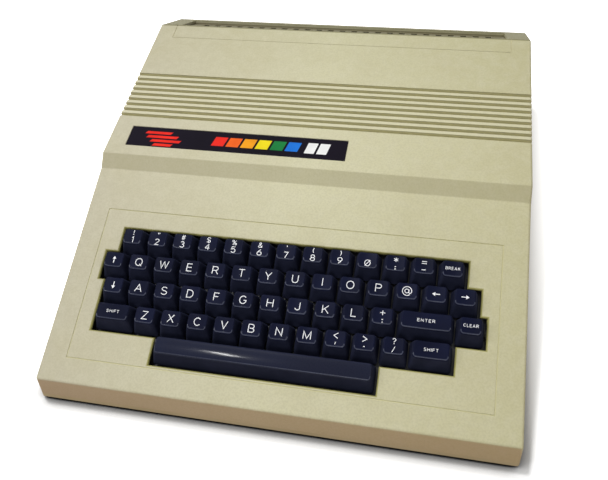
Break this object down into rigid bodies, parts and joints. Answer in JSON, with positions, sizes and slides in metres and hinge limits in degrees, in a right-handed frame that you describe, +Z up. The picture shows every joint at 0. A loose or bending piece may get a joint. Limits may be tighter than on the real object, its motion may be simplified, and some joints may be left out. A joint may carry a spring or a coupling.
{
  "type": "vintage home computer",
  "caption": "Wedge-shaped cream home computer with a built-in dark full-travel keyboard, grooved top, rear vents, side sockets and a sprung cartridge flap.",
  "frame": {"origin": "centre of the footprint on the table, under the middle of the case", "axes": "+X to the user's right, +Y from the front edge to the rear, +Z up"},
  "size_m": [0.325, 0.38, 0.097],
  "materials": {
    "case_abs": "moulded ABS, fine spark-eroded texture, aged cream",
    "base_abs": "moulded ABS, plain",
    "flap_abs": "moulded ABS, fine texture",
    "keycap_plastic": "moulded ABS, satin, printed legends",
    "keyboard_metal": "black stove enamel on steel plate",
    "circuit_board": "glass-fibre board with green solder mask",
    "button_plastic": "moulded",
    "rocker_plastic": "moulded nylon"
  },
  "bodies": {
    "chassis": {"upper_case": "case_abs", "lower_case": "base_abs", "keyboard_unit": "keyboard_metal", "main_board": "circuit_board"},
    "flap": {"cartridge_flap": "flap_abs"},
    "reset": {"reset_button": "button_plastic"},
    "rocker": {"power_rocker": "rocker_plastic"},
    "cap_1": {"key_1": "keycap_plastic"},
    "cap_2": {"key_2": "keycap_plastic"},
    "cap_3": {"key_3": "keycap_plastic"},
    "cap_4": {"key_4": "keycap_plastic"},
    "cap_5": {"key_5": "keycap_plastic"},
    "cap_6": {"key_6": "keycap_plastic"},
    "cap_7": {"key_7": "keycap_plastic"},
    "cap_8": {"key_8": "keycap_plastic"},
    "cap_9": {"key_9": "keycap_plastic"},
    "cap_0": {"key_0": "keycap_plastic"},
    "cap_colon": {"key_colon": "keycap_plastic"},
    "cap_minus": {"key_minus": "keycap_plastic"},
    "cap_break": {"key_break": "keycap_plastic"},
    "cap_up": {"key_up": "keycap_plastic"},
    "cap_q": {"key_q": "keycap_plastic"},
    "cap_w": {"key_w": "keycap_plastic"},
    "cap_e": {"key_e": "keycap_plastic"},
    "cap_r": {"key_r": "keycap_plastic"},
    "cap_t": {"key_t": "keycap_plastic"},
    "cap_y": {"key_y": "keycap_plastic"},
    "cap_u": {"key_u": "keycap_plastic"},
    "cap_i": {"key_i": "keycap_plastic"},
    "cap_o": {"key_o": "keycap_plastic"},
    "cap_p": {"key_p": "keycap_plastic"},
    "cap_at": {"key_at": "keycap_plastic"},
    "cap_left": {"key_left": "keycap_plastic"},
    "cap_right": {"key_right": "keycap_plastic"},
    "cap_down": {"key_down": "keycap_plastic"},
    "cap_a": {"key_a": "keycap_plastic"},
    "cap_s": {"key_s": "keycap_plastic"},
    "cap_d": {"key_d": "keycap_plastic"},
    "cap_f": {"key_f": "keycap_plastic"},
    "cap_g": {"key_g": "keycap_plastic"},
    "cap_h": {"key_h": "keycap_plastic"},
    "cap_j": {"key_j": "keycap_plastic"},
    "cap_k": {"key_k": "keycap_plastic"},
    "cap_l": {"key_l": "keycap_plastic"},
    "cap_semicolon": {"key_semicolon": "keycap_plastic"},
    "cap_enter": {"key_enter": "keycap_plastic"},
    "cap_clear": {"key_clear": "keycap_plastic"},
    "cap_shift_left": {"key_shift_left": "keycap_plastic"},
    "cap_z": {"key_z": "keycap_plastic"},
    "cap_x": {"key_x": "keycap_plastic"},
    "cap_c": {"key_c": "keycap_plastic"},
    "cap_v": {"key_v": "keycap_plastic"},
    "cap_b": {"key_b": "keycap_plastic"},
    "cap_n": {"key_n": "keycap_plastic"},
    "cap_m": {"key_m": "keycap_plastic"},
    "cap_comma": {"key_comma": "keycap_plastic"},
    "cap_period": {"key_period": "keycap_plastic"},
    "cap_slash": {"key_slash": "keycap_plastic"},
    "cap_shift_right": {"key_shift_right": "keycap_plastic"},
    "cap_space": {"space_bar": "keycap_plastic"}
  },
  "joints": [
    {"name": "cartridge_flap_hinge", "type": "hinge", "parent": "chassis", "child": "flap", "pos_m": [0.15659, 0.112, 0.0475], "axis": [0, 1, 0], "range_deg": [0, 82], "stiffness_Nm_per_rad": 0.006, "springref_deg": -20.05},
    {"name": "reset_press", "type": "slide", "parent": "chassis", "child": "reset", "axis": [1, 0, 0], "range_m": [0, 0.0025], "stiffness_N_per_m": 300, "springref_m": -0.001},
    {"name": "power_rocker_tilt", "type": "hinge", "parent": "chassis", "child": "rocker", "pos_m": [0.095, 0.17763, 0.028], "axis": [-1, 0, 0], "range_deg": [0, 18]},
    {"name": "press_1", "type": "slide", "parent": "chassis", "child": "cap_1", "axis": [0, -0.309, 0.9511], "range_m": [-0.0036, 0], "stiffness_N_per_m": 150, "springref_m": 0.002},
    {"name": "press_2", "type": "slide", "parent": "chassis", "child": "cap_2", "axis": [0, -0.309, 0.9511], "range_m": [-0.0036, 0], "stiffness_N_per_m": 150, "springref_m": 0.002},
    {"name": "press_3", "type": "slide", "parent": "chassis", "child": "cap_3", "axis": [0, -0.309, 0.9511], "range_m": [-0.0036, 0], "stiffness_N_per_m": 150, "springref_m": 0.002},
    {"name": "press_4", "type": "slide", "parent": "chassis", "child": "cap_4", "axis": [0, -0.309, 0.9511], "range_m": [-0.0036, 0], "stiffness_N_per_m": 150, "springref_m": 0.002},
    {"name": "press_5", "type": "slide", "parent": "chassis", "child": "cap_5", "axis": [0, -0.309, 0.9511], "range_m": [-0.0036, 0], "stiffness_N_per_m": 150, "springref_m": 0.002},
    {"name": "press_6", "type": "slide", "parent": "chassis", "child": "cap_6", "axis": [0, -0.309, 0.9511], "range_m": [-0.0036, 0], "stiffness_N_per_m": 150, "springref_m": 0.002},
    {"name": "press_7", "type": "slide", "parent": "chassis", "child": "cap_7", "axis": [0, -0.309, 0.9511], "range_m": [-0.0036, 0], "stiffness_N_per_m": 150, "springref_m": 0.002},
    {"name": "press_8", "type": "slide", "parent": "chassis", "child": "cap_8", "axis": [0, -0.309, 0.9511], "range_m": [-0.0036, 0], "stiffness_N_per_m": 150, "springref_m": 0.002},
    {"name": "press_9", "type": "slide", "parent": "chassis", "child": "cap_9", "axis": [0, -0.309, 0.9511], "range_m": [-0.0036, 0], "stiffness_N_per_m": 150, "springref_m": 0.002},
    {"name": "press_0", "type": "slide", "parent": "chassis", "child": "cap_0", "axis": [0, -0.309, 0.9511], "range_m": [-0.0036, 0], "stiffness_N_per_m": 150, "springref_m": 0.002},
    {"name": "press_colon", "type": "slide", "parent": "chassis", "child": "cap_colon", "axis": [0, -0.309, 0.9511], "range_m": [-0.0036, 0], "stiffness_N_per_m": 150, "springref_m": 0.002},
    {"name": "press_minus", "type": "slide", "parent": "chassis", "child": "cap_minus", "axis": [0, -0.309, 0.9511], "range_m": [-0.0036, 0], "stiffness_N_per_m": 150, "springref_m": 0.002},
    {"name": "press_break", "type": "slide", "parent": "chassis", "child": "cap_break", "axis": [0, -0.309, 0.9511], "range_m": [-0.0036, 0], "stiffness_N_per_m": 150, "springref_m": 0.002},
    {"name": "press_up", "type": "slide", "parent": "chassis", "child": "cap_up", "axis": [0, -0.309, 0.9511], "range_m": [-0.0036, 0], "stiffness_N_per_m": 150, "springref_m": 0.002},
    {"name": "press_q", "type": "slide", "parent": "chassis", "child": "cap_q", "axis": [0, -0.309, 0.9511], "range_m": [-0.0036, 0], "stiffness_N_per_m": 150, "springref_m": 0.002},
    {"name": "press_w", "type": "slide", "parent": "chassis", "child": "cap_w", "axis": [0, -0.309, 0.9511], "range_m": [-0.0036, 0], "stiffness_N_per_m": 150, "springref_m": 0.002},
    {"name": "press_e", "type": "slide", "parent": "chassis", "child": "cap_e", "axis": [0, -0.309, 0.9511], "range_m": [-0.0036, 0], "stiffness_N_per_m": 150, "springref_m": 0.002},
    {"name": "press_r", "type": "slide", "parent": "chassis", "child": "cap_r", "axis": [0, -0.309, 0.9511], "range_m": [-0.0036, 0], "stiffness_N_per_m": 150, "springref_m": 0.002},
    {"name": "press_t", "type": "slide", "parent": "chassis", "child": "cap_t", "axis": [0, -0.309, 0.9511], "range_m": [-0.0036, 0], "stiffness_N_per_m": 150, "springref_m": 0.002},
    {"name": "press_y", "type": "slide", "parent": "chassis", "child": "cap_y", "axis": [0, -0.309, 0.9511], "range_m": [-0.0036, 0], "stiffness_N_per_m": 150, "springref_m": 0.002},
    {"name": "press_u", "type": "slide", "parent": "chassis", "child": "cap_u", "axis": [0, -0.309, 0.9511], "range_m": [-0.0036, 0], "stiffness_N_per_m": 150, "springref_m": 0.002},
    {"name": "press_i", "type": "slide", "parent": "chassis", "child": "cap_i", "axis": [0, -0.309, 0.9511], "range_m": [-0.0036, 0], "stiffness_N_per_m": 150, "springref_m": 0.002},
    {"name": "press_o", "type": "slide", "parent": "chassis", "child": "cap_o", "axis": [0, -0.309, 0.9511], "range_m": [-0.0036, 0], "stiffness_N_per_m": 150, "springref_m": 0.002},
    {"name": "press_p", "type": "slide", "parent": "chassis", "child": "cap_p", "axis": [0, -0.309, 0.9511], "range_m": [-0.0036, 0], "stiffness_N_per_m": 150, "springref_m": 0.002},
    {"name": "press_at", "type": "slide", "parent": "chassis", "child": "cap_at", "axis": [0, -0.309, 0.9511], "range_m": [-0.0036, 0], "stiffness_N_per_m": 150, "springref_m": 0.002},
    {"name": "press_left", "type": "slide", "parent": "chassis", "child": "cap_left", "axis": [0, -0.309, 0.9511], "range_m": [-0.0036, 0], "stiffness_N_per_m": 150, "springref_m": 0.002},
    {"name": "press_right", "type": "slide", "parent": "chassis", "child": "cap_right", "axis": [0, -0.309, 0.9511], "range_m": [-0.0036, 0], "stiffness_N_per_m": 150, "springref_m": 0.002},
    {"name": "press_down", "type": "slide", "parent": "chassis", "child": "cap_down", "axis": [0, -0.309, 0.9511], "range_m": [-0.0036, 0], "stiffness_N_per_m": 150, "springref_m": 0.002},
    {"name": "press_a", "type": "slide", "parent": "chassis", "child": "cap_a", "axis": [0, -0.309, 0.9511], "range_m": [-0.0036, 0], "stiffness_N_per_m": 150, "springref_m": 0.002},
    {"name": "press_s", "type": "slide", "parent": "chassis", "child": "cap_s", "axis": [0, -0.309, 0.9511], "range_m": [-0.0036, 0], "stiffness_N_per_m": 150, "springref_m": 0.002},
    {"name": "press_d", "type": "slide", "parent": "chassis", "child": "cap_d", "axis": [0, -0.309, 0.9511], "range_m": [-0.0036, 0], "stiffness_N_per_m": 150, "springref_m": 0.002},
    {"name": "press_f", "type": "slide", "parent": "chassis", "child": "cap_f", "axis": [0, -0.309, 0.9511], "range_m": [-0.0036, 0], "stiffness_N_per_m": 150, "springref_m": 0.002},
    {"name": "press_g", "type": "slide", "parent": "chassis", "child": "cap_g", "axis": [0, -0.309, 0.9511], "range_m": [-0.0036, 0], "stiffness_N_per_m": 150, "springref_m": 0.002},
    {"name": "press_h", "type": "slide", "parent": "chassis", "child": "cap_h", "axis": [0, -0.309, 0.9511], "range_m": [-0.0036, 0], "stiffness_N_per_m": 150, "springref_m": 0.002},
    {"name": "press_j", "type": "slide", "parent": "chassis", "child": "cap_j", "axis": [0, -0.309, 0.9511], "range_m": [-0.0036, 0], "stiffness_N_per_m": 150, "springref_m": 0.002},
    {"name": "press_k", "type": "slide", "parent": "chassis", "child": "cap_k", "axis": [0, -0.309, 0.9511], "range_m": [-0.0036, 0], "stiffness_N_per_m": 150, "springref_m": 0.002},
    {"name": "press_l", "type": "slide", "parent": "chassis", "child": "cap_l", "axis": [0, -0.309, 0.9511], "range_m": [-0.0036, 0], "stiffness_N_per_m": 150, "springref_m": 0.002},
    {"name": "press_semicolon", "type": "slide", "parent": "chassis", "child": "cap_semicolon", "axis": [0, -0.309, 0.9511], "range_m": [-0.0036, 0], "stiffness_N_per_m": 150, "springref_m": 0.002},
    {"name": "press_enter", "type": "slide", "parent": "chassis", "child": "cap_enter", "axis": [0, -0.309, 0.9511], "range_m": [-0.0036, 0], "stiffness_N_per_m": 150, "springref_m": 0.002},
    {"name": "press_clear", "type": "slide", "parent": "chassis", "child": "cap_clear", "axis": [0, -0.309, 0.9511], "range_m": [-0.0036, 0], "stiffness_N_per_m": 150, "springref_m": 0.002},
    {"name": "press_shift_left", "type": "slide", "parent": "chassis", "child": "cap_shift_left", "axis": [0, -0.309, 0.9511], "range_m": [-0.0036, 0], "stiffness_N_per_m": 150, "springref_m": 0.002},
    {"name": "press_z", "type": "slide", "parent": "chassis", "child": "cap_z", "axis": [0, -0.309, 0.9511], "range_m": [-0.0036, 0], "stiffness_N_per_m": 150, "springref_m": 0.002},
    {"name": "press_x", "type": "slide", "parent": "chassis", "child": "cap_x", "axis": [0, -0.309, 0.9511], "range_m": [-0.0036, 0], "stiffness_N_per_m": 150, "springref_m": 0.002},
    {"name": "press_c", "type": "slide", "parent": "chassis", "child": "cap_c", "axis": [0, -0.309, 0.9511], "range_m": [-0.0036, 0], "stiffness_N_per_m": 150, "springref_m": 0.002},
    {"name": "press_v", "type": "slide", "parent": "chassis", "child": "cap_v", "axis": [0, -0.309, 0.9511], "range_m": [-0.0036, 0], "stiffness_N_per_m": 150, "springref_m": 0.002},
    {"name": "press_b", "type": "slide", "parent": "chassis", "child": "cap_b", "axis": [0, -0.309, 0.9511], "range_m": [-0.0036, 0], "stiffness_N_per_m": 150, "springref_m": 0.002},
    {"name": "press_n", "type": "slide", "parent": "chassis", "child": "cap_n", "axis": [0, -0.309, 0.9511], "range_m": [-0.0036, 0], "stiffness_N_per_m": 150, "springref_m": 0.002},
    {"name": "press_m", "type": "slide", "parent": "chassis", "child": "cap_m", "axis": [0, -0.309, 0.9511], "range_m": [-0.0036, 0], "stiffness_N_per_m": 150, "springref_m": 0.002},
    {"name": "press_comma", "type": "slide", "parent": "chassis", "child": "cap_comma", "axis": [0, -0.309, 0.9511], "range_m": [-0.0036, 0], "stiffness_N_per_m": 150, "springref_m": 0.002},
    {"name": "press_period", "type": "slide", "parent": "chassis", "child": "cap_period", "axis": [0, -0.309, 0.9511], "range_m": [-0.0036, 0], "stiffness_N_per_m": 150, "springref_m": 0.002},
    {"name": "press_slash", "type": "slide", "parent": "chassis", "child": "cap_slash", "axis": [0, -0.309, 0.9511], "range_m": [-0.0036, 0], "stiffness_N_per_m": 150, "springref_m": 0.002},
    {"name": "press_shift_right", "type": "slide", "parent": "chassis", "child": "cap_shift_right", "axis": [0, -0.309, 0.9511], "range_m": [-0.0036, 0], "stiffness_N_per_m": 150, "springref_m": 0.002},
    {"name": "press_space", "type": "slide", "parent": "chassis", "child": "cap_space", "axis": [0, -0.309, 0.9511], "range_m": [-0.0036, 0], "stiffness_N_per_m": 200, "springref_m": 0.002}
  ]
}
